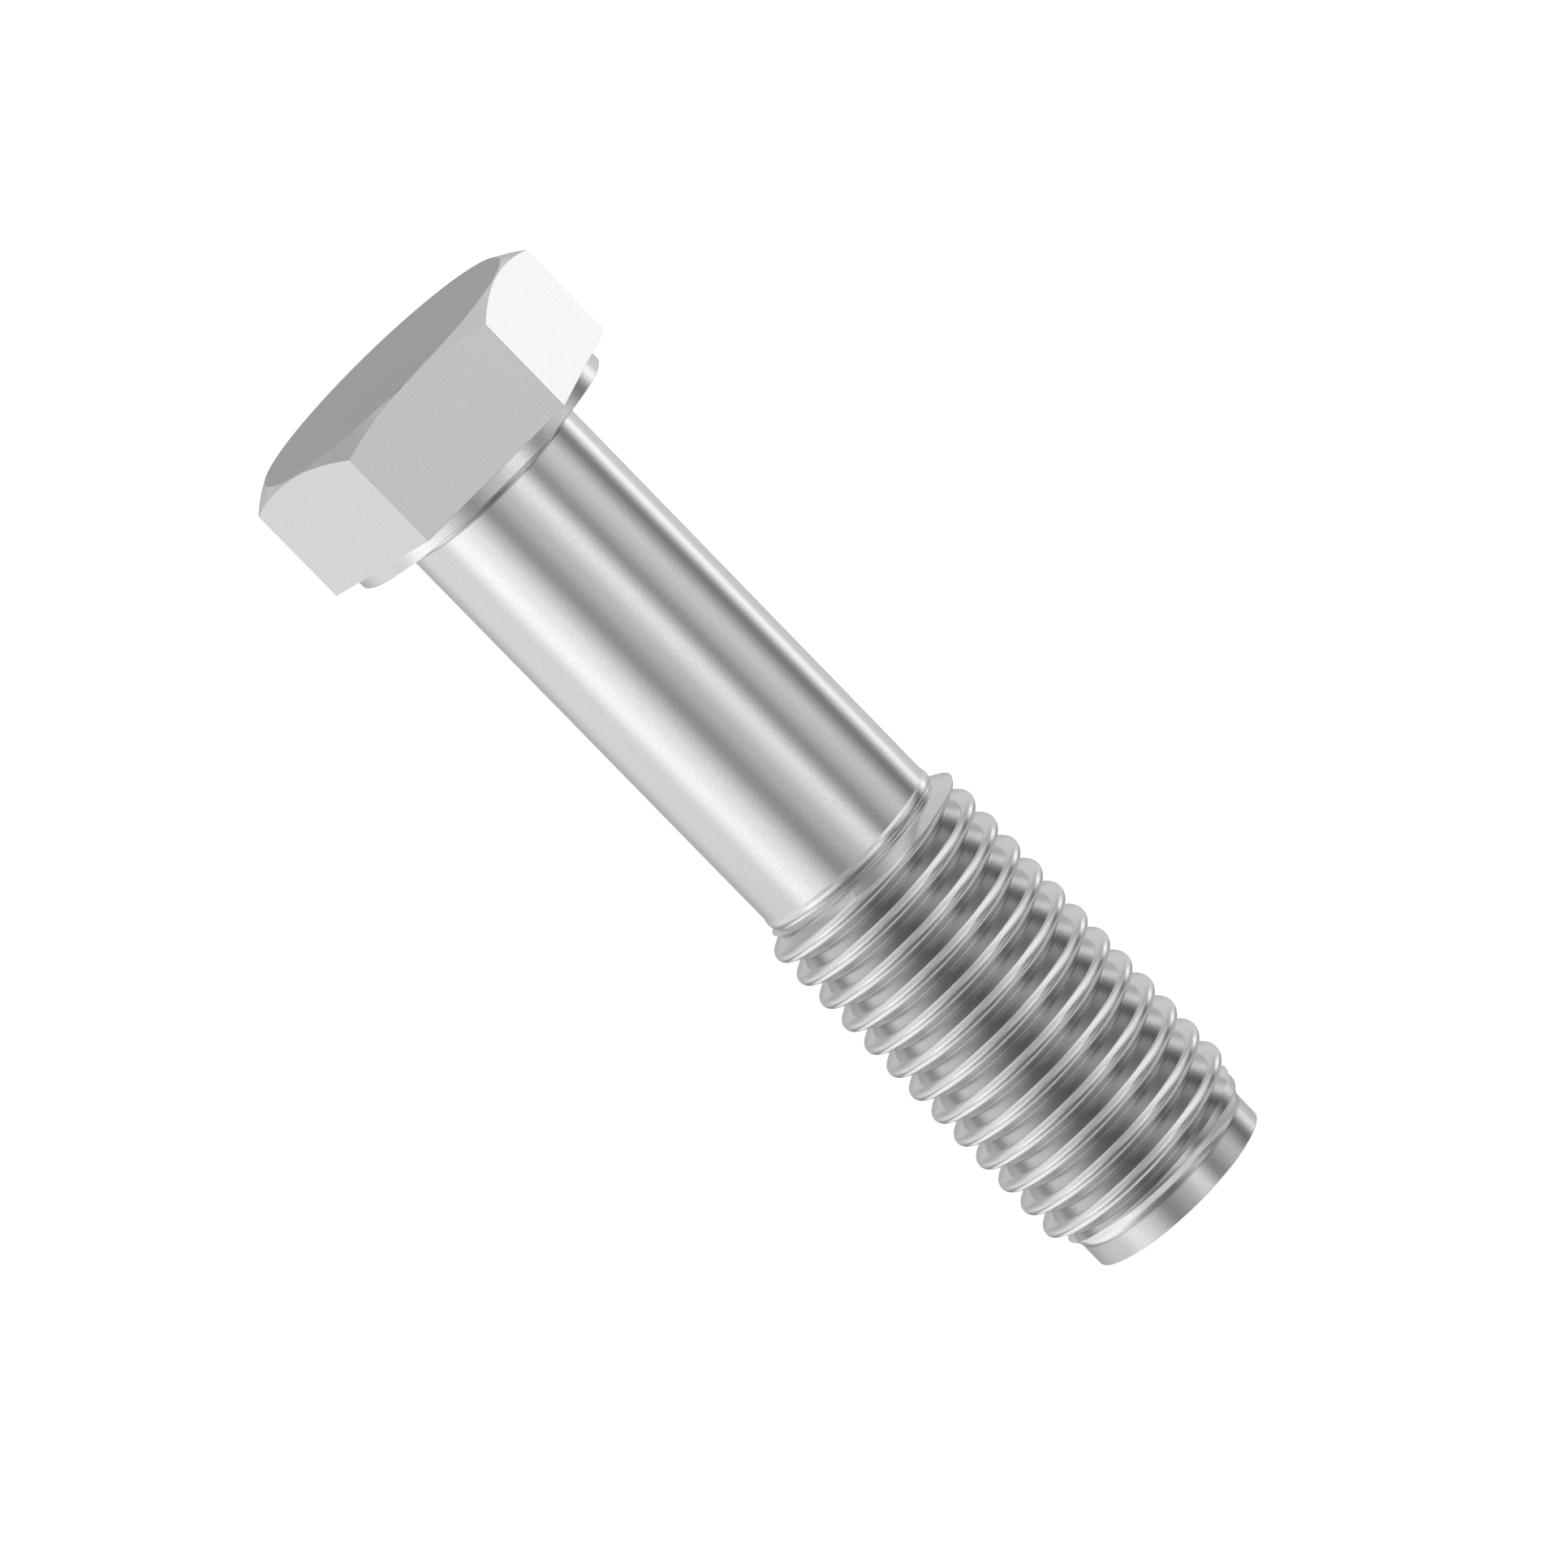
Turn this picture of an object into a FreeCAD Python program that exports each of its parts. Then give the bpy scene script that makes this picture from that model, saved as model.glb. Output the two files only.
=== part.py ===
import FreeCAD, Part
import Sketcher
import os

# Hex bolt: one piece of steel, with a forged hexagon head and a thread rolled on its lower half.
# The origin is the middle of the bearing face under the head. +Z points out of the head's top and
# the shank hangs down along -Z. Two of the head's flats face -Y and +Y. Sizes are in millimetres,
# and depths are measured down from the bearing face.

SIZES = {
    # head
    "across_flats": 18.0,
    "hexagon_height": 7.03,
    "top_circle_diameter": 17.81,
    "top_chamfer_angle": 30.0,
    "washer_face_diameter": 17.94,
    "washer_face_height": 0.79,
    # shank
    "under_head_fillet": 0.8,
    "shank_diameter": 12.0,
    "bolt_length": 56.18,
    # bead of steel pushed up where the thread begins
    "bead_top_depth": 28.92,
    "bead_foot_depth": 29.64,
    "bead_height": 0.073,
    # thread: right-hand, one start, 60 degree vee with a rounded crest
    "pitch": 1.8169,
    "crest_diameter": 14.05,
    "crest_rounding": 0.47,
    "root_diameter": 11.88,
    "flank_angle": 30.0,
    "first_crest_depth": 30.093,
    "turns_rolled": 15,
    # where the thread begins and ends
    "run_in_depth": 29.74,
    "run_out_depth": 53.28,
    "last_turn_diameter": 12.92,
    "last_turn_edge_depth": 53.89,
    "last_turn_slope": 39.5,
    # plain stub at the tip
    "stub_fillet": 0.94,
}

# how far shapes reach past or into each other so that no two faces lie on one another
PAST = 2.0
BURIED = 0.15

doc = FreeCAD.newDocument("hex_bolt")
sheet = doc.addObject("Spreadsheet::Sheet", "sizes")
for row, (name, value) in enumerate(SIZES.items(), start=1):
    sheet.set(f"A{row}", name)
    sheet.set(f"B{row}", str(value))
    sheet.setAlias(f"B{row}", name)
doc.recompute()

bolt = doc.addObject("PartDesign::Body", "hex_bolt")
bolt.Label = "hex_bolt"


def origin_feature(role):
    """The body's own origin plane or axis with this role."""
    return next(f for f in bolt.Origin.OriginFeatures if f.Role == role)


def drive(sketch, kind, geometry, point, expression):
    """Holds one point of the sketch at a distance from the sketch's origin given by the sheet."""
    value = float(sheet.evalExpression(expression))
    index = sketch.addConstraint(Sketcher.Constraint(kind, geometry, point, value))
    sketch.setExpression(f"Constraints[{index}]", expression)


def arc_between(start, end, centre_x):
    """The arc from start to end about a centre at this x, taking the shorter way round."""
    rise = end.y - start.y
    centre_y = (end.Length**2 - start.Length**2 - 2 * centre_x * (end.x - start.x)) / (2 * rise)
    centre = FreeCAD.Vector(centre_x, centre_y, 0)
    middle = (start + end) / 2 - centre
    middle.normalize()
    return Part.Arc(start, centre + middle * (start - centre).Length, end)


def outline(name, plane, corners):
    """A closed outline whose corners are driven by the sheet.

    A corner is (x, y). With a third value, the side that leaves it is an arc about a centre at that x.
    """
    sketch = bolt.newObject("Sketcher::SketchObject", name)
    sketch.AttachmentSupport = [(origin_feature(plane), "")]
    sketch.MapMode = "FlatFace"
    count = len(corners)
    at = [[float(sheet.evalExpression(e)) for e in corner] for corner in corners]
    for i in range(count):
        start = FreeCAD.Vector(at[i][0], at[i][1], 0)
        end = FreeCAD.Vector(at[(i + 1) % count][0], at[(i + 1) % count][1], 0)
        if len(corners[i]) == 3:
            side = arc_between(start, end, at[i][2])
        else:
            side = Part.LineSegment(start, end)
        sketch.addGeometry(side)
    # an arc always runs anticlockwise, so the end it starts from is looked up
    first, last = [], []
    for i in range(count):
        start = FreeCAD.Vector(at[i][0], at[i][1], 0)
        runs_forward = sketch.getPoint(i, 1).distanceToPoint(start) < 1e-6
        first.append(1 if runs_forward else 2)
        last.append(2 if runs_forward else 1)
    for i in range(count):
        after = (i + 1) % count
        sketch.addConstraint(Sketcher.Constraint("Coincident", i, last[i], after, first[after]))
    for i, corner in enumerate(corners):
        drive(sketch, "DistanceX", i, first[i], corner[0])
        drive(sketch, "DistanceY", i, first[i], corner[1])
        if len(corner) == 3:
            drive(sketch, "DistanceX", i, 3, corner[2])
    return sketch


def turned(kind, name, sketch):
    """A full turn of the sketch about the bolt's axis, added (Revolution) or cut (Groove)."""
    feature = bolt.newObject(f"PartDesign::{kind}", name)
    feature.Profile = sketch
    feature.ReferenceAxis = (origin_feature("Z_Axis"), [""])
    feature.Angle = 360.0
    doc.recompute()
    return feature


# Threaded half, before its ends are trimmed: a core at the root diameter that widens below the
# thread, with the thread's ridge swept round it.
shank_r = "sizes.shank_diameter / 2"
root_r = "sizes.root_diameter / 2"
crest_r = "sizes.crest_diameter / 2"
last_r = "sizes.last_turn_diameter / 2"
tip = "-sizes.bolt_length"
run_in = "-sizes.run_in_depth"
neck = f"{run_in} + {2 * PAST}"
stub_top = (
    f"-sizes.last_turn_edge_depth - ({last_r} - {shank_r}) / tan(sizes.last_turn_slope)"
)
core_outline = outline(
    "core_outline",
    "XZ_Plane",
    [
        ("0", neck),
        (f"{shank_r} + {2 * BURIED}", neck),
        (f"{shank_r} + {2 * BURIED}", f"{run_in} + {BURIED / 8}"),
        (root_r, f"{run_in} + {BURIED / 8}"),
        (root_r, f"{stub_top} + {4 * BURIED}"),
        (f"{shank_r} + {2 * BURIED}", f"{stub_top} + {BURIED}"),
        (f"{shank_r} + {2 * BURIED}", f"{tip} - {PAST}"),
        ("0", f"{tip} - {PAST}"),
    ],
)
turned("Revolution", "core", core_outline)

ridge_z = "-sizes.first_crest_depth - (sizes.turns_rolled - 1) * sizes.pitch"
foot_r = f"{root_r} - 0.1 * {BURIED}"
foot_half = f"({crest_r} + sizes.crest_rounding - ({foot_r})) * tan(sizes.flank_angle)"
round_r = f"{crest_r} - sizes.crest_rounding * (1 - sin(sizes.flank_angle))"
round_half = "sizes.crest_rounding * cos(sizes.flank_angle)"
ridge_outline = outline(
    "ridge_outline",
    "XZ_Plane",
    [
        (f"{root_r} - {2 * BURIED}", f"{ridge_z} + {foot_half} - {BURIED}"),
        (foot_r, f"{ridge_z} + {foot_half}"),
        (round_r, f"{ridge_z} + {round_half}", f"{crest_r} - sizes.crest_rounding"),
        (round_r, f"{ridge_z} - {round_half}"),
        (foot_r, f"{ridge_z} - {foot_half}"),
        (f"{root_r} - {2 * BURIED}", f"{ridge_z} - {foot_half} + {BURIED}"),
    ],
)
ridge = bolt.newObject("PartDesign::AdditiveHelix", "thread_ridge")
ridge.Profile = ridge_outline
ridge.ReferenceAxis = (origin_feature("Z_Axis"), [""])
ridge.Mode = "pitch-turns-angle"
ridge.setExpression("Pitch", "sizes.pitch")
ridge.setExpression("Turns", "sizes.turns_rolled")
doc.recompute()

# Both ends of the ridge are trimmed level. At the top a cone as steep as the flanks cuts it down
# into the core. At the tip it steps down to the low last turn, which slopes into the plain stub.
bead_half = "(sizes.bead_foot_depth - sizes.bead_top_depth) / 2"
bead_round = f"(({bead_half})^2 + sizes.bead_height^2) / (2 * sizes.bead_height)"
notch_r = f"{root_r} - {BURIED / 8}"
run_in_outline = outline(
    "run_in_outline",
    "XZ_Plane",
    [
        (shank_r, f"{neck} + {PAST}"),
        (
            shank_r,
            "-sizes.bead_top_depth",
            f"{shank_r} + sizes.bead_height - {bead_round}",
        ),
        (shank_r, "-sizes.bead_foot_depth"),
        (notch_r, run_in),
        (
            f"{crest_r} + {PAST}",
            f"{run_in} - ({crest_r} + {PAST} - ({notch_r})) * tan(sizes.flank_angle)",
        ),
        (f"{crest_r} + {PAST}", f"{neck} + {PAST}"),
    ],
)
turned("Groove", "run_in", run_in_outline)

fillet_reach = "sizes.stub_fillet * tan(sizes.last_turn_slope / 2)"
run_out = "-sizes.run_out_depth"
run_out_outline = outline(
    "run_out_outline",
    "XZ_Plane",
    [
        ("0", tip),
        (shank_r, tip),
        (shank_r, f"{stub_top} - {fillet_reach}", f"{shank_r} + sizes.stub_fillet"),
        (
            f"{shank_r} + {fillet_reach} * sin(sizes.last_turn_slope)",
            f"{stub_top} + {fillet_reach} * cos(sizes.last_turn_slope)",
        ),
        (last_r, "-sizes.last_turn_edge_depth"),
        (last_r, run_out),
        (
            f"{crest_r} + {PAST}",
            f"{run_out} + ({crest_r} + {PAST} - ({last_r})) * tan(sizes.flank_angle)",
        ),
        (f"{crest_r} + {PAST}", f"{tip} - {2 * PAST}"),
        ("0", f"{tip} - {2 * PAST}"),
    ],
)
turned("Groove", "run_out", run_out_outline)

# Plain shank, with the fillet under the head and the washer face above it.
washer_r = "sizes.washer_face_diameter / 2"
shank_outline = outline(
    "shank_outline",
    "XZ_Plane",
    [
        ("0", "sizes.washer_face_height"),
        (washer_r, "sizes.washer_face_height"),
        (washer_r, "0"),
        (
            f"{shank_r} + sizes.under_head_fillet",
            "0",
            f"{shank_r} + sizes.under_head_fillet",
        ),
        (shank_r, "-sizes.under_head_fillet"),
        (shank_r, neck),
        ("0", neck),
    ],
)
turned("Revolution", "shank", shank_outline)

# Hexagon head, with the cone that rounds its six top corners off.
corner = "sizes.across_flats / sqrt(3)"
half_corner = f"{corner} / 2"
flat = "sizes.across_flats / 2"
hexagon = outline(
    "hexagon",
    "XY_Plane",
    [
        (corner, "0"),
        (half_corner, flat),
        (f"-{half_corner}", flat),
        (f"-{corner}", "0"),
        (f"-{half_corner}", f"-{flat}"),
        (half_corner, f"-{flat}"),
    ],
)
hexagon.setExpression("AttachmentOffset.Base.z", "sizes.washer_face_height")
head = bolt.newObject("PartDesign::Pad", "head")
head.Profile = hexagon
head.setExpression("Length", "sizes.hexagon_height")
doc.recompute()

head_top = "sizes.washer_face_height + sizes.hexagon_height"
circle_r = "sizes.top_circle_diameter / 2"
chamfer_outline = outline(
    "chamfer_outline",
    "XZ_Plane",
    [
        (f"{circle_r} - {PAST}", f"{head_top} + {PAST} * tan(sizes.top_chamfer_angle)"),
        (f"{circle_r} + {2 * PAST}", f"{head_top} - {2 * PAST} * tan(sizes.top_chamfer_angle)"),
        (f"{circle_r} + {2 * PAST}", f"{head_top} + {PAST} * tan(sizes.top_chamfer_angle)"),
    ],
)
turned("Groove", "head_chamfer", chamfer_outline)

for thing in doc.Objects:
    if "Invalid" in thing.State or "Error" in thing.State:
        raise RuntimeError(f"{thing.Label} did not build: {thing.State}")
if bolt.Shape.isNull() or not bolt.Shape.isValid() or len(bolt.Shape.Solids) != 1:
    raise RuntimeError("hex_bolt is not one valid solid")

os.makedirs("parts", exist_ok=True)
bolt.Shape.exportStep("parts/hex_bolt.step")
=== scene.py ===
from math import asin, ceil, cos, degrees, floor, pi, radians, sin, sqrt, tan

import bpy
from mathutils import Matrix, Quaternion, Vector


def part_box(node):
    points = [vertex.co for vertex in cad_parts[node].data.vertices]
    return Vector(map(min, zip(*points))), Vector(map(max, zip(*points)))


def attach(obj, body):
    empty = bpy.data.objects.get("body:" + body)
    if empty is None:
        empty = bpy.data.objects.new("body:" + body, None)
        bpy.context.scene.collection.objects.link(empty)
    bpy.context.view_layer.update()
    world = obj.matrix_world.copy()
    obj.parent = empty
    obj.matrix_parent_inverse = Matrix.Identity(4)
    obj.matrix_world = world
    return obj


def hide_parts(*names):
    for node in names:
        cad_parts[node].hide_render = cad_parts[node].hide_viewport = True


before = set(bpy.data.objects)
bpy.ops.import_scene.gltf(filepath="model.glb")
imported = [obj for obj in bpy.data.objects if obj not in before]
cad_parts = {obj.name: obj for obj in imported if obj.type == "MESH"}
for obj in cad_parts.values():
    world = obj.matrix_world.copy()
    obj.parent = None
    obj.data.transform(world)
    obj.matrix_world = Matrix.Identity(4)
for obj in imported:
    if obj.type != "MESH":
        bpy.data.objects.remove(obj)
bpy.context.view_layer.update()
MM = 0.001


# ---------------------------------------------------------------- turned blank
# The bolt is one bar of bright steel. Before its thread is rolled, everything below the hexagon is
# round: the washer face, the fillet under the head, the plain shank with the small bead at its
# foot, the length for the thread, the low last turn and the plain stub at the tip.
HEX_BOTTOM = 0.79 * MM
WASHER_FACE_R = 8.97 * MM
SHANK_R = 6.0 * MM
UNDER_HEAD_FILLET = 0.8 * MM
BEAD_TOP = -28.92 * MM
BEAD_FOOT = -29.64 * MM
BEAD_HEIGHT = 0.073 * MM
ROOT_R = 5.94 * MM
CREST_R = 7.025 * MM
FLANK = radians(30)
RUN_IN = -29.74 * MM
RUN_OUT = -53.28 * MM
LAST_TURN_R = 6.46 * MM
LAST_TURN_EDGE = -53.89 * MM
LAST_TURN_ROUND = 0.2 * MM
LAST_TURN_SLOPE = 39.5
STUB_FILLET = 0.94 * MM
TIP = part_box("hex_bolt")[0].z
EDGE_BREAK = 0.05 * MM
AROUND = 240
EDGE_STEPS = 3
STUB_FILLET_STEPS = 6
LAST_TURN_STEPS = 4
BEAD_STEPS = 10
UNDER_HEAD_STEPS = 14


def bow(middle_r, middle_z, radius, start, end, steps):
    """Points of an arc in the (radius, height) plane, from one angle in degrees to another."""
    angles = [radians(start + (end - start) * i / steps) for i in range(steps + 1)]
    return [(middle_r + radius * cos(a), middle_z + radius * sin(a)) for a in angles]


def alone(piece):
    """Selects only this piece and makes it the one that operators act on."""
    bpy.ops.object.select_all(action="DESELECT")
    piece.select_set(True)
    bpy.context.view_layer.objects.active = piece


def turn(name, outline, around):
    """Draws a round solid up from its lowest disc, one ring at a time."""
    bpy.ops.object.select_all(action="DESELECT")
    before_r, before_z = outline[0]
    bpy.ops.mesh.primitive_circle_add(
        vertices=around, radius=before_r, fill_type="NGON", location=(0, 0, before_z)
    )
    piece = bpy.context.object
    piece.name = name
    bpy.ops.object.transform_apply(location=True, rotation=True, scale=True)
    bpy.ops.object.mode_set(mode="EDIT")
    bpy.ops.mesh.select_all(action="SELECT")
    for r, z in outline[1:]:
        bpy.ops.mesh.extrude_region_move(
            TRANSFORM_OT_translate={"value": (0, 0, z - before_z)}
        )
        bpy.ops.transform.resize(
            value=(r / before_r, r / before_r, 1), center_override=(0, 0, z)
        )
        before_r, before_z = r, z
    bpy.ops.mesh.select_all(action="SELECT")
    bpy.ops.mesh.normals_make_consistent(inside=False)
    bpy.ops.object.mode_set(mode="OBJECT")
    return piece


def combine(piece, other, operation):
    """Cuts or joins one solid with another, and clears the other away."""
    alone(piece)
    step = piece.modifiers.new(operation.lower(), "BOOLEAN")
    step.object = other
    step.operation = operation
    step.solver = "EXACT"
    bpy.ops.object.modifier_apply(modifier=step.name)
    bpy.data.objects.remove(other)


# The stub and the shank each keep a short ring of their own beside their fillet, so that only the
# fillet shades as a curve and the straight length beside it stays straight.
STRAIGHT_END = 0.05 * MM
slope = radians(LAST_TURN_SLOPE)
stub_top = LAST_TURN_EDGE - (LAST_TURN_R - SHANK_R) / tan(slope) - STUB_FILLET * tan(slope / 2)
outline = bow(SHANK_R - EDGE_BREAK, TIP + EDGE_BREAK, EDGE_BREAK, -90, 0, EDGE_STEPS)
outline += [(SHANK_R, stub_top - STRAIGHT_END)]
outline += bow(
    SHANK_R + STUB_FILLET, stub_top, STUB_FILLET,
    180, 180 - LAST_TURN_SLOPE, STUB_FILLET_STEPS,
)
outline += bow(
    LAST_TURN_R - LAST_TURN_ROUND, LAST_TURN_EDGE + LAST_TURN_ROUND * tan(slope / 2),
    LAST_TURN_ROUND, -LAST_TURN_SLOPE, 0, LAST_TURN_STEPS,
)

# The length for the thread is left a little thicker than its crests, and the thread's form cuts it
# down. At both ends it slopes at the thread's own flank angle.
PAST_CREST = 0.3 * MM
ROOT_STEP = 0.02 * MM
blank_r = CREST_R + PAST_CREST
outline += [
    (LAST_TURN_R, RUN_OUT),
    (blank_r, RUN_OUT + (blank_r - LAST_TURN_R) * tan(FLANK)),
    (blank_r, RUN_IN - (blank_r - ROOT_R) * tan(FLANK)),
    (ROOT_R - ROOT_STEP, RUN_IN),
]

# The bead is the top of a round swell much wider than itself.
bead_half = (BEAD_TOP - BEAD_FOOT) / 2
bead_round = (bead_half**2 + BEAD_HEIGHT**2) / (2 * BEAD_HEIGHT)
bead_spread = degrees(asin(bead_half / bead_round))
outline += bow(
    SHANK_R + BEAD_HEIGHT - bead_round, (BEAD_TOP + BEAD_FOOT) / 2, bead_round,
    -bead_spread, bead_spread, BEAD_STEPS,
)
outline += [(SHANK_R, -UNDER_HEAD_FILLET - STRAIGHT_END)]
outline += bow(
    SHANK_R + UNDER_HEAD_FILLET, -UNDER_HEAD_FILLET, UNDER_HEAD_FILLET, 180, 90, UNDER_HEAD_STEPS
)
outline += bow(WASHER_FACE_R - EDGE_BREAK, EDGE_BREAK, EDGE_BREAK, -90, 0, EDGE_STEPS)
INTO_HEAD = 3 * MM
outline += [(WASHER_FACE_R, HEX_BOTTOM + INTO_HEAD)]
bolt = turn("hex_bolt_steel", outline, AROUND)


# ---------------------------------------------------------------- rolled thread
# A right-hand single thread, pressed into the bar between hard dies: a 60 degree vee whose crest
# the steel rounds off as it flows. One pitch of it is drawn, repeated, and screwed round the axis.
PITCH = 1.8169 * MM
CREST_ROUND = 0.47 * MM
CREST_SPREAD = 60
CREST_STEPS = 12
FIRST_CREST = -30.093 * MM
FLANK_ROWS = (0, 0.45, 0.9)
THREAD_AROUND = 224
SPARE_TURNS = 2
SAME_POINT = 0.0005 * MM

crest_arc = bow(
    CREST_R - CREST_ROUND, 0, CREST_ROUND, -CREST_SPREAD, CREST_SPREAD, CREST_STEPS
)
foot = (CREST_R + CREST_ROUND - ROOT_R) * tan(FLANK)
flank_r, flank_z = crest_arc[0]
lower = [
    (ROOT_R + (flank_r - ROOT_R) * part, -foot + (flank_z + foot) * part) for part in FLANK_ROWS
]
upper = [(r, -z) for r, z in reversed(lower)]
ridge = lower + crest_arc + upper
root_width = PITCH - 2 * foot
lowest_crest = FIRST_CREST - PITCH * floor((FIRST_CREST - TIP) / PITCH + SPARE_TURNS)

bpy.ops.object.select_all(action="DESELECT")
bpy.ops.mesh.primitive_plane_add(size=MM, location=(0, 0, 0))
thread = bpy.context.object
thread.name = "thread_form"
bpy.ops.object.mode_set(mode="EDIT")
bpy.ops.mesh.select_all(action="SELECT")
bpy.ops.mesh.merge(type="CENTER")
bpy.ops.transform.translate(value=(ridge[0][0], 0, lowest_crest + ridge[0][1]))
for (r0, z0), (r1, z1) in zip(ridge, ridge[1:]):
    bpy.ops.mesh.extrude_region_move(
        TRANSFORM_OT_translate={"value": (r1 - r0, 0, z1 - z0)}
    )
bpy.ops.mesh.extrude_region_move(TRANSFORM_OT_translate={"value": (0, 0, root_width)})
bpy.ops.object.mode_set(mode="OBJECT")

rows = thread.modifiers.new("turns", "ARRAY")
rows.use_relative_offset = False
rows.use_constant_offset = True
rows.constant_offset_displace = (0, 0, PITCH)
rows.count = ceil((RUN_IN - TIP) / PITCH) + 2 * SPARE_TURNS
rows.use_merge_vertices = True
rows.merge_threshold = SAME_POINT
bpy.ops.object.modifier_apply(modifier=rows.name)
wind = thread.modifiers.new("wind", "SCREW")
wind.axis = "Z"
wind.angle = 2 * pi
wind.screw_offset = PITCH
wind.steps = wind.render_steps = THREAD_AROUND
wind.use_normal_calculate = True
bpy.ops.object.modifier_apply(modifier=wind.name)

# Both ends of the wound form are sawn off level and closed.
SAWN_TOP = RUN_IN + 0.9 * MM
SAWN_FOOT = TIP - 0.5 * MM
SAW_WIDTH = 0.0001 * MM
bpy.ops.object.mode_set(mode="EDIT")
bpy.ops.mesh.select_all(action="SELECT")
bpy.ops.mesh.remove_doubles(threshold=2 * SAME_POINT)
for height, keep_above in ((SAWN_TOP, False), (SAWN_FOOT, True)):
    bpy.ops.mesh.select_all(action="SELECT")
    bpy.ops.mesh.bisect(
        plane_co=(0, 0, height), plane_no=(0, 0, 1), use_fill=True,
        clear_inner=keep_above, clear_outer=not keep_above, threshold=SAW_WIDTH,
    )
bpy.ops.mesh.select_all(action="SELECT")
bpy.ops.mesh.normals_make_consistent(inside=False)
bpy.ops.object.mode_set(mode="OBJECT")

# Past both ends of the thread the dies never touch the bar, so there the form is wider than it. The
# groove shallows out where it climbs into the slope of the last turn.
FLARE_TOP = -53.79 * MM
FLARE_FOOT = -54.3 * MM
FLARE_R = 5.89 * MM
CLEAR = 0.3 * MM
WIDE_R = 12 * MM
PAST_TIP = 2 * MM
WIDE_AROUND = 48
above = turn("form_above", [(WIDE_R, RUN_IN + ROOT_STEP), (WIDE_R, WIDE_R)], WIDE_AROUND)
below = turn(
    "form_below",
    [
        (WIDE_R, TIP - PAST_TIP),
        (WIDE_R, FLARE_FOOT - CLEAR),
        (SHANK_R + 2 * CLEAR, FLARE_FOOT - CLEAR),
        (SHANK_R + CLEAR, FLARE_FOOT),
        (FLARE_R, FLARE_TOP),
    ],
    AROUND,
)
combine(thread, above, "UNION")
combine(thread, below, "UNION")
combine(bolt, thread, "INTERSECT")


# ---------------------------------------------------------------- forged head
# The head is forged from the same bar: a hexagon between six flats, with its top corners turned
# off by a 30 degree cone that leaves a flat circle nearly as wide as the flats. All its edges are
# crisp.
ACROSS_FLATS = 18 * MM
HEAD_TOP = 7.82 * MM
TOP_CIRCLE_R = 8.905 * MM
TOP_CHAMFER = radians(30)
HEX_EDGE_BREAK = 0.02 * MM
PAST_HEAD = 2 * MM
CONE_R = 14 * MM

bpy.ops.object.select_all(action="DESELECT")
bpy.ops.mesh.primitive_cylinder_add(
    vertices=6, radius=ACROSS_FLATS / sqrt(3), depth=HEAD_TOP + PAST_HEAD - HEX_BOTTOM,
    location=(0, 0, (HEAD_TOP + PAST_HEAD + HEX_BOTTOM) / 2), rotation=(0, 0, radians(30)),
)
head = bpy.context.object
head.name = "hexagon"
bpy.ops.object.transform_apply(location=True, rotation=True, scale=True)
bpy.ops.object.mode_set(mode="EDIT")
bpy.ops.mesh.select_all(action="SELECT")
bpy.ops.mesh.bevel(offset=HEX_EDGE_BREAK, offset_type="OFFSET", segments=2, profile=0.5)
bpy.ops.object.mode_set(mode="OBJECT")
cone = turn(
    "chamfer_form",
    [
        (CONE_R, HEX_BOTTOM - PAST_HEAD),
        (CONE_R, HEAD_TOP - (CONE_R - TOP_CIRCLE_R) * tan(TOP_CHAMFER)),
        (TOP_CIRCLE_R, HEAD_TOP),
    ],
    AROUND,
)
combine(head, cone, "INTERSECT")
combine(bolt, head, "UNION")

# Faces that turn less than this from one to the next make one curve, and a sharper turn is an edge.
SHARPEST_CURVE = radians(14)
alone(bolt)
bpy.ops.object.mode_set(mode="EDIT")
bpy.ops.mesh.select_all(action="SELECT")
bpy.ops.mesh.remove_doubles(threshold=SAME_POINT)
bpy.ops.mesh.dissolve_degenerate(threshold=SAME_POINT)
bpy.ops.mesh.normals_make_consistent(inside=False)
bpy.ops.object.mode_set(mode="OBJECT")
bpy.ops.object.shade_smooth_by_angle(angle=SHARPEST_CURVE)


# ---------------------------------------------------------------- bright steel finish
# Bright drawn and forged steel, barrelled to an even satin, with no plating or oil on it. The eye
# sees broad clear reflections, broken up by a fine grain that shows most where they change. The
# real grain is a few hundredths of a millimetre, and is drawn a tenth wide so that it shows.
def node(tree, kind, inputs=None, **settings):
    """Adds a node with its settings, and gives its inputs values or other nodes' outputs."""
    made = tree.nodes.new(kind)
    for name, value in settings.items():
        setattr(made, name, value)
    for name, value in (inputs or {}).items():
        if isinstance(value, bpy.types.NodeSocket):
            tree.links.new(value, made.inputs[name])
        else:
            made.inputs[name].default_value = value
    return made


def linear(hex_colour):
    """An sRGB hex colour as the linear red, green, blue and alpha that a shader takes."""
    parts = [int(hex_colour[i : i + 2], 16) / 255 for i in (0, 2, 4)]
    return [p / 12.92 if p <= 0.04045 else ((p + 0.055) / 1.055) ** 2.4 for p in parts] + [1]


GRAIN_SIZE = 0.1 * MM
GRAIN_HEIGHT = 0.003 * MM
# The noise seldom leaves this range, so it is stretched to the whole of it
GRAIN_LOW, GRAIN_HIGH = 0.3, 0.7
ROUGHEST = 0.14
SMOOTHEST = 0.1

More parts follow.
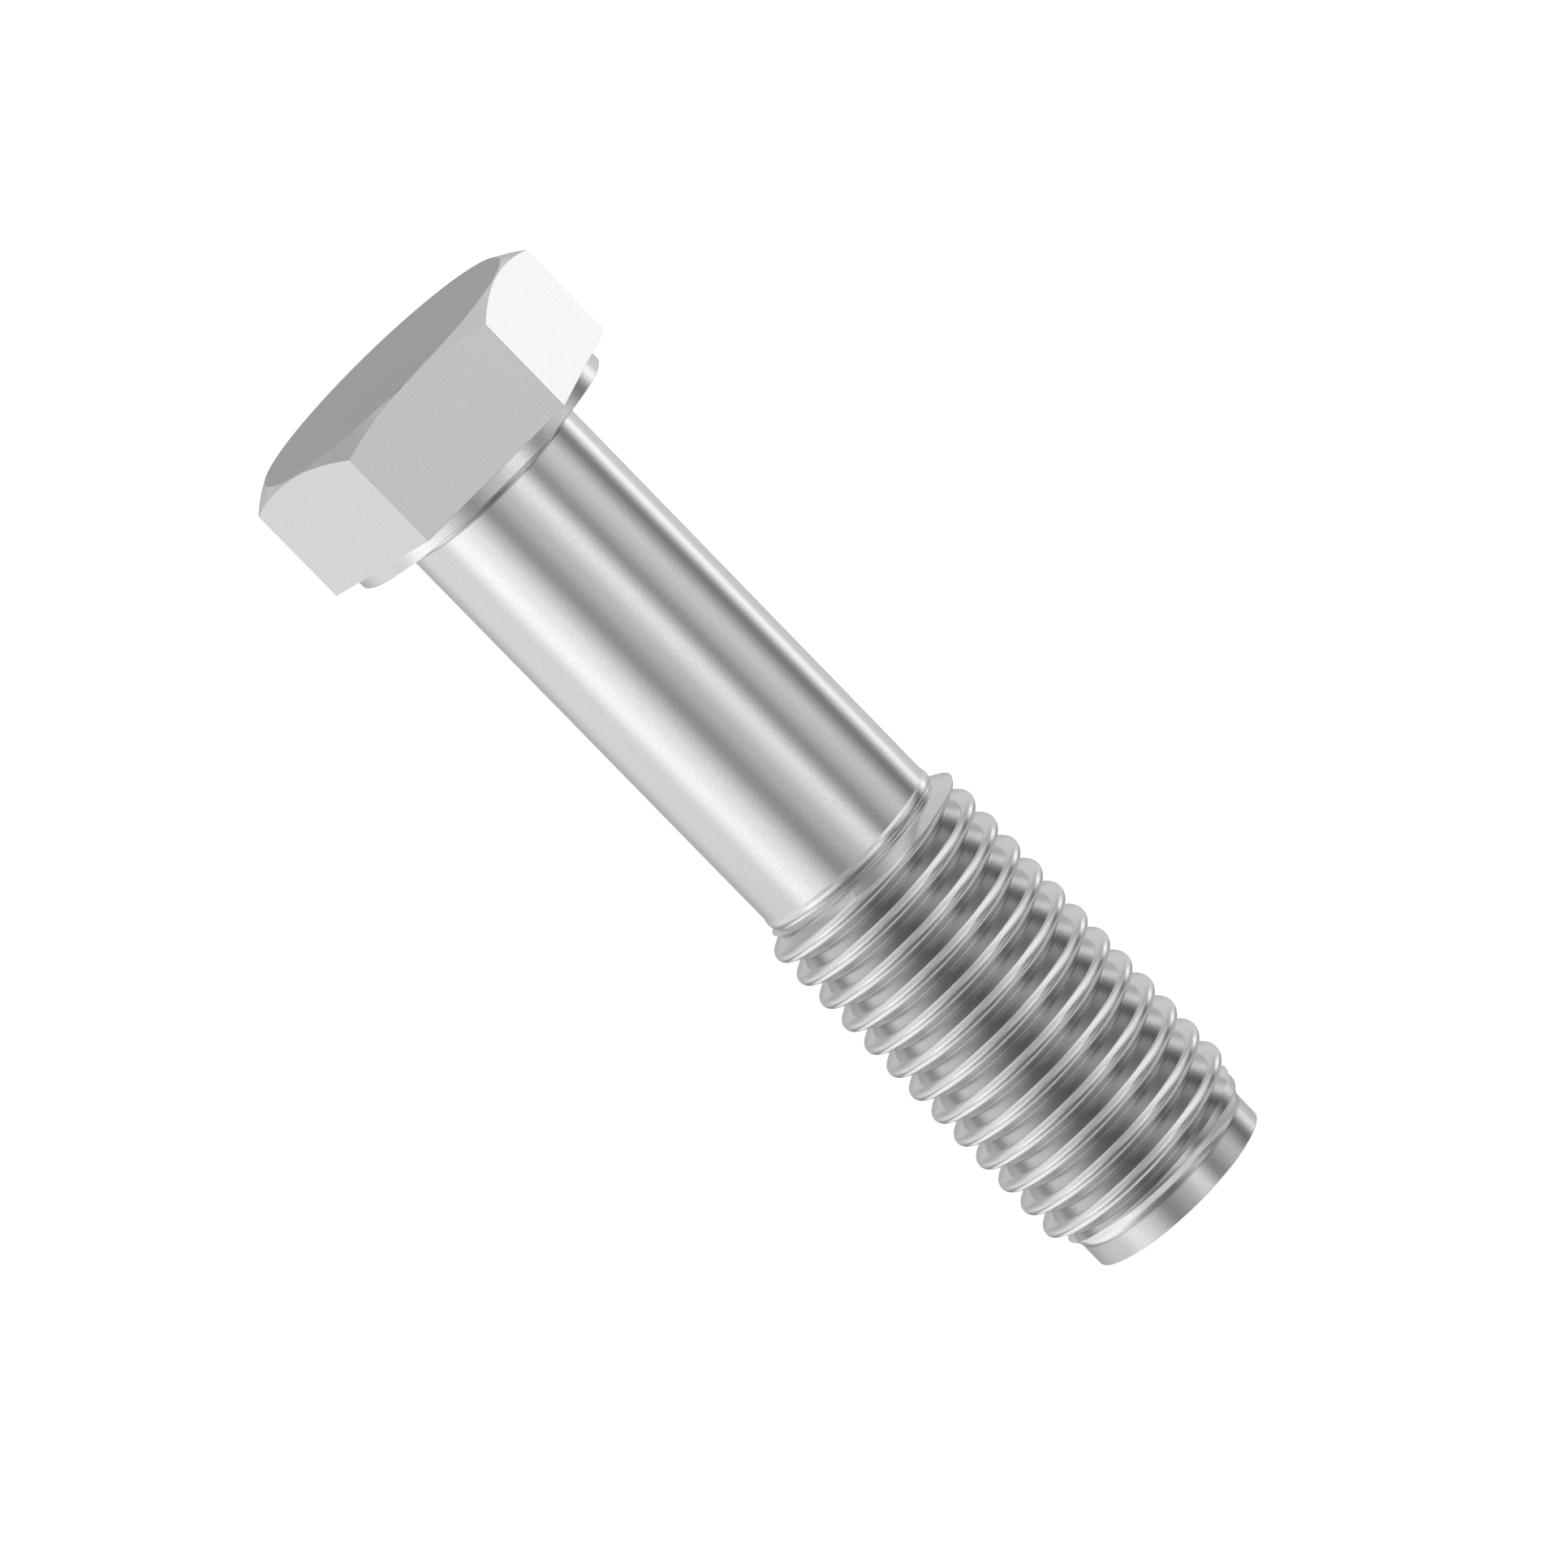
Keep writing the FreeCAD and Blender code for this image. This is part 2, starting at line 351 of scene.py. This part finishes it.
# A colour mix numbers its sockets: its share, its two colours, and its result
SHARE, FIRST, SECOND, MIXED = 0, 6, 7, 2
steel = bpy.data.materials.new("bright_satin_steel")
steel.use_nodes = True
steel_tree = steel.node_tree
shader = steel_tree.nodes["Principled BSDF"]
place = node(steel_tree, "ShaderNodeTexCoord")
grain = node(
    steel_tree, "ShaderNodeTexNoise",
    {"Vector": place.outputs["Object"], "Scale": 1 / GRAIN_SIZE, "Detail": 1.0, "Roughness": 0.5},
)
spread = node(
    steel_tree, "ShaderNodeMapRange",
    {"Value": grain.outputs["Fac"], "From Min": GRAIN_LOW, "From Max": GRAIN_HIGH},
)
tone = node(
    steel_tree, "ShaderNodeMix",
    {SHARE: spread.outputs["Result"], FIRST: linear("C9C9C9"), SECOND: linear("D1D1D1")},
    data_type="RGBA",
)
satin = node(
    steel_tree, "ShaderNodeMapRange",
    {"Value": spread.outputs["Result"], "To Min": ROUGHEST, "To Max": SMOOTHEST},
)
relief = node(
    steel_tree, "ShaderNodeBump",
    {"Height": grain.outputs["Fac"], "Strength": 1.0, "Distance": GRAIN_HEIGHT},
)
shader.inputs["Metallic"].default_value = 1
steel_tree.links.new(tone.outputs[MIXED], shader.inputs["Base Color"])
steel_tree.links.new(satin.outputs["Result"], shader.inputs["Roughness"])
steel_tree.links.new(relief.outputs["Normal"], shader.inputs["Normal"])
bolt.data.materials.clear()
bolt.data.materials.append(steel)
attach(bolt, "root")
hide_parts("hex_bolt")


# ---------------------------------------------------------------- camera
# A long lens well away from the bolt, a little above the middle of it and rolled, so that the bolt
# lies across the picture from upper left to lower right.
AIM = Vector((0, 0, -24.22)) * MM
CAMERA_AWAY = 682.7 * MM
CAMERA_TURN = radians(-3.726)
CAMERA_RISE = radians(10.8955)
CAMERA_ROLL = radians(-44.272)
FILM_WIDTH = 36
FOCAL_LENGTH = 284.27
lens = bpy.data.cameras.new("camera")
lens.sensor_width = FILM_WIDTH
lens.lens = FOCAL_LENGTH
camera = bpy.data.objects.new("camera", lens)
bpy.context.scene.collection.objects.link(camera)
way = Vector(
    (sin(CAMERA_TURN) * cos(CAMERA_RISE), -cos(CAMERA_TURN) * cos(CAMERA_RISE), sin(CAMERA_RISE))
)
camera.location = AIM + way * CAMERA_AWAY
camera.rotation_mode = "QUATERNION"
camera.rotation_quaternion = (-way).to_track_quat("-Z", "Y") @ Quaternion((0, 0, 1), CAMERA_ROLL)
bpy.context.scene.camera = camera
bpy.context.scene.view_settings.view_transform = "Standard"


# ---------------------------------------------------------------- studio
# A lit white table in a studio tent. The tent's wall goes round the bolt in soft bright panels with
# darker gaps between them, over a darker skirt, and its roof has a dark seam at the back. The
# table throws no shadow and is not seen in the steel, which shows the space under it instead.
TABLE_SIZE = 6
TABLE_GLOW = 0.5
bpy.ops.object.select_all(action="DESELECT")
bpy.ops.mesh.primitive_plane_add(size=TABLE_SIZE, location=(0, 0, TIP))
table = bpy.context.object
table.name = "white_table"
table.visible_glossy = False
table.visible_shadow = False
acrylic = bpy.data.materials.new("lit_white_acrylic")
acrylic.use_nodes = True
lit = acrylic.node_tree.nodes["Principled BSDF"]
lit.inputs["Base Color"].default_value = linear("E6E6E6")
lit.inputs["Emission Color"].default_value = linear("FFFFFF")
lit.inputs["Emission Strength"].default_value = TABLE_GLOW
table.data.materials.append(acrylic)

# Each stop is (degrees round from the front, counted towards the right, and its grey)
WALL = [
    (-180, "96"), (-168, "A0"), (-152, "AC"), (-132, "CE"), (-114, "D7"), (-90, "DA"),
    (-74, "FE"), (-58, "F2"), (-44, "DC"), (-30, "AE"), (-20, "90"), (-6, "AE"),
    (8, "C5"), (24, "E6"), (33, "C8"), (44, "92"), (56, "AC"), (76, "C8"),
    (88, "AE"), (104, "7A"), (114, "AC"), (127, "F9"), (138, "CC"), (150, "BE"),
    (164, "B0"), (180, "96"),
]
ROOF = [
    (-180, "80"), (-168, "B4"), (-150, "A4"), (-125, "BC"), (-90, "E0"), (-45, "B8"), (0, "A8"),
    (60, "E8"), (93, "D4"), (115, "AC"), (130, "B0"), (150, "BE"), (168, "B8"), (180, "80"),
]
SKIRT = [
    (-180, "84"), (-150, "88"), (-114, "A8"), (-74, "C0"), (-44, "A2"), (-20, "74"), (8, "96"),
    (24, "B8"), (44, "6C"), (76, "98"), (104, "56"), (127, "B0"), (150, "98"), (180, "84"),
]
UNDER = [
    (-180, "B8"), (-120, "F0"), (-100, "EE"), (-80, "DC"), (-60, "AC"), (-40, "84"), (-20, "6A"),
    (0, "6C"), (20, "9A"), (40, "B4"), (60, "8E"), (80, "84"), (100, "B4"), (112, "B0"),
    (128, "9C"), (180, "B8"),
]
FLOOR = "C8"
TENT_GLOW = 1.6

world = bpy.data.worlds.new("studio")
bpy.context.scene.world = world
world.use_nodes = True
world_tree = world.node_tree
world_tree.nodes.clear()
way_out = node(world_tree, "ShaderNodeTexCoord")
turned = node(
    world_tree, "ShaderNodeMapping",
    {"Vector": way_out.outputs["Generated"], "Rotation": (0, 0, -CAMERA_TURN)},
)
parts = node(world_tree, "ShaderNodeSeparateXYZ", {"Vector": turned.outputs["Vector"]})
front = node(
    world_tree, "ShaderNodeMath", {0: parts.outputs["Y"], 1: -1.0}, operation="MULTIPLY"
)
round_angle = node(
    world_tree, "ShaderNodeMath", {0: parts.outputs["X"], 1: front.outputs[0]}, operation="ARCTAN2"
)
round_share = node(
    world_tree, "ShaderNodeMapRange",
    {"Value": round_angle.outputs[0], "From Min": -pi, "From Max": pi},
)
height_angle = node(world_tree, "ShaderNodeMath", {0: parts.outputs["Z"]}, operation="ARCSINE")

# Each ring of greys fades in over the one below it, between two heights in degrees above level.
tent = linear(FLOOR * 3)
for stops, start, end in ((UNDER, -74, -60), (SKIRT, -27, -20), (WALL, -18, -9), (ROOF, 0, 16)):
    ring = node(world_tree, "ShaderNodeValToRGB", {"Fac": round_share.outputs["Result"]})
    ring.color_ramp.interpolation = "CARDINAL"
    while len(ring.color_ramp.elements) < len(stops):
        ring.color_ramp.elements.new(0.5)
    for element, (angle, grey) in zip(ring.color_ramp.elements, stops):
        element.position = 0.5 + angle / 360
        element.color = linear(grey * 3)
    share = node(
        world_tree, "ShaderNodeMapRange",
        {"Value": height_angle.outputs[0], "From Min": radians(start), "From Max": radians(end)},
        interpolation_type="SMOOTHSTEP",
    )
    mixed = node(
        world_tree, "ShaderNodeMix",
        {SHARE: share.outputs["Result"], FIRST: tent, SECOND: ring.outputs["Color"]},
        data_type="RGBA",
    )
    tent = mixed.outputs[MIXED]

# Only the steel sees the tent. Everything else is lit plainly and evenly.
seen = node(world_tree, "ShaderNodeLightPath")
glow = node(world_tree, "ShaderNodeBackground", {"Color": tent, "Strength": TENT_GLOW})
plain = node(world_tree, "ShaderNodeBackground", {"Color": linear("FFFFFF"), "Strength": 1.0})
choice = node(
    world_tree, "ShaderNodeMixShader",
    {0: seen.outputs["Is Glossy Ray"], 1: plain.outputs[0], 2: glow.outputs[0]},
)
node(world_tree, "ShaderNodeOutputWorld", {"Surface": choice.outputs[0]})
